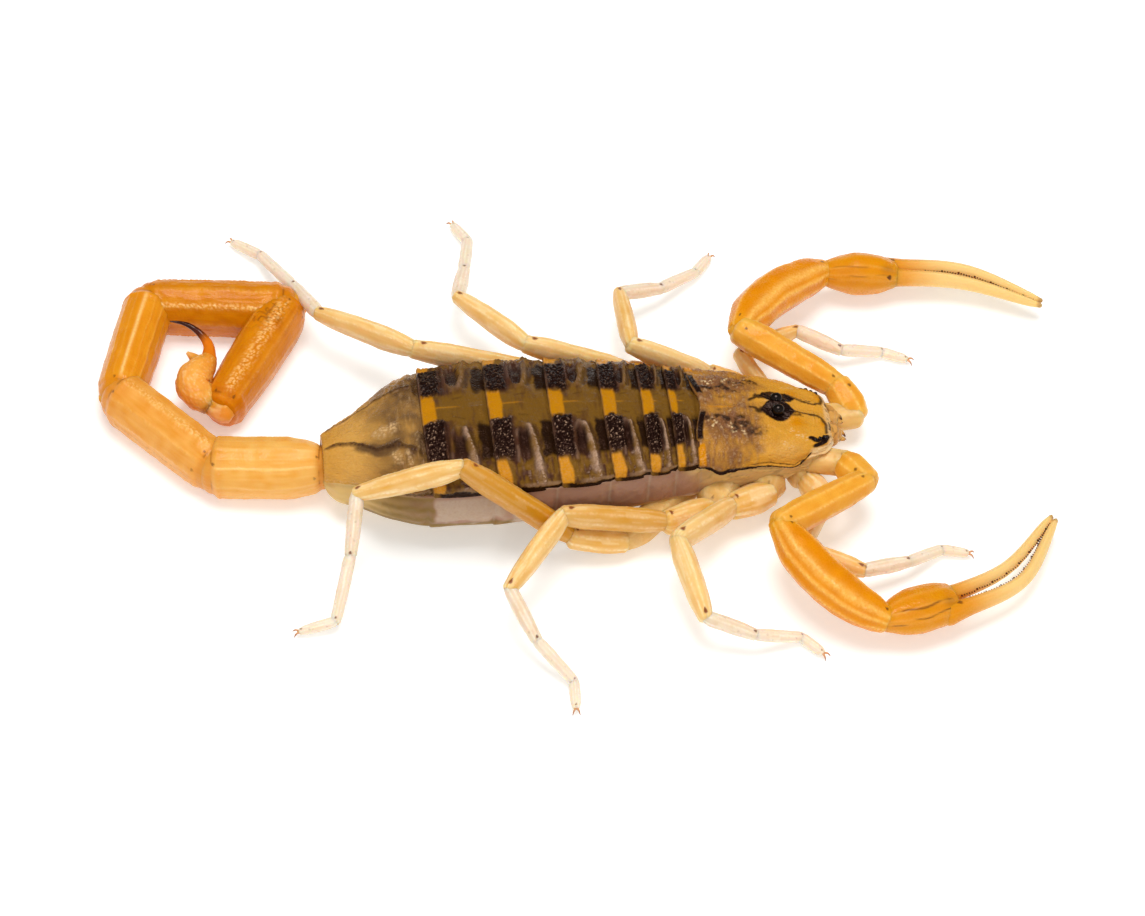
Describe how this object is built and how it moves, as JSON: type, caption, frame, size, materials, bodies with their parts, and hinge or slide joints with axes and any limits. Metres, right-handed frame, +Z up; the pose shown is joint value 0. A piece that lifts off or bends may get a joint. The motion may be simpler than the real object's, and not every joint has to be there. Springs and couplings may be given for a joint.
{
  "type": "striped bark scorpion",
  "caption": "Life-size bark scorpion standing flat with its claws open forward and its tail curled beside it, striped brown back, amber limbs.",
  "frame": {"origin": "on the floor under the middle of the whole posed animal", "axes": "+X towards the head, +Y to the animal's left, +Z up from the floor"},
  "size_m": [0.0402, 0.0262, 0.0059],
  "materials": {
    "carapace": "satin amber-brown plate with dark marks",
    "tergite": "satin olive-brown plate with two black-brown stripes",
    "membrane": "soft pinkish-brown skin, slightly glossy",
    "coxa": "satin pale amber",
    "eye": "polished black",
    "chelicera": "satin amber with a dark net",
    "pedipalp": "glossy translucent amber-orange",
    "hand": "glossy amber-orange with dark keels and paler fingers",
    "tail": "satin amber-orange with granular keels",
    "telson": "satin orange-yellow",
    "sting": "glossy, orange turning purple-black",
    "leg": "satin pale amber-yellow",
    "foot": "satin whitish amber with brown joints",
    "pecten": "satin cream"
  },
  "bodies": {
    "root": {"eye_median_right": "eye", "eyes_lateral_right": "eye", "eye_median_left": "eye", "eyes_lateral_left": "eye", "carapace": "carapace", "tergite_1": "tergite", "tergite_2": "tergite", "tergite_3": "tergite", "tergite_4": "tergite", "tergite_5": "tergite", "tergite_6": "tergite", "tergite_7": "tergite", "pecten_right": "pecten", "pecten_left": "pecten", "belly": "membrane", "prosoma_underside": "coxa", "chelicera_right": "chelicera", "chelicera_left": "chelicera", "tail_1": "tail", "tail_2": "tail", "tail_3": "tail", "tail_4": "tail", "tail_5": "tail", "telson_bulb": "telson", "telson_sting": "sting", "pedipalp_right_trochanter": "pedipalp", "pedipalp_right_femur": "pedipalp", "pedipalp_right_patella": "pedipalp", "pedipalp_right_hand": "hand", "pedipalp_right_moving_finger": "hand", "leg_1_right_femur": "leg", "leg_1_right_patella": "leg", "leg_1_right_foot": "foot", "leg_2_right_femur": "leg", "leg_2_right_patella": "leg", "leg_2_right_foot": "foot", "leg_3_right_femur": "leg", "leg_3_right_patella": "leg", "leg_3_right_foot": "foot", "leg_4_right_femur": "leg", "leg_4_right_patella": "leg", "leg_4_right_foot": "foot", "pedipalp_left_trochanter": "pedipalp", "pedipalp_left_femur": "pedipalp", "pedipalp_left_patella": "pedipalp", "pedipalp_left_hand": "hand", "pedipalp_left_moving_finger": "hand", "leg_1_left_femur": "leg", "leg_1_left_patella": "leg", "leg_1_left_foot": "foot", "leg_2_left_femur": "leg", "leg_2_left_patella": "leg", "leg_2_left_foot": "foot", "leg_3_left_femur": "leg", "leg_3_left_patella": "leg", "leg_3_left_foot": "foot", "leg_4_left_femur": "leg", "leg_4_left_patella": "leg", "leg_4_left_foot": "foot"}
  },
  "joints": []
}
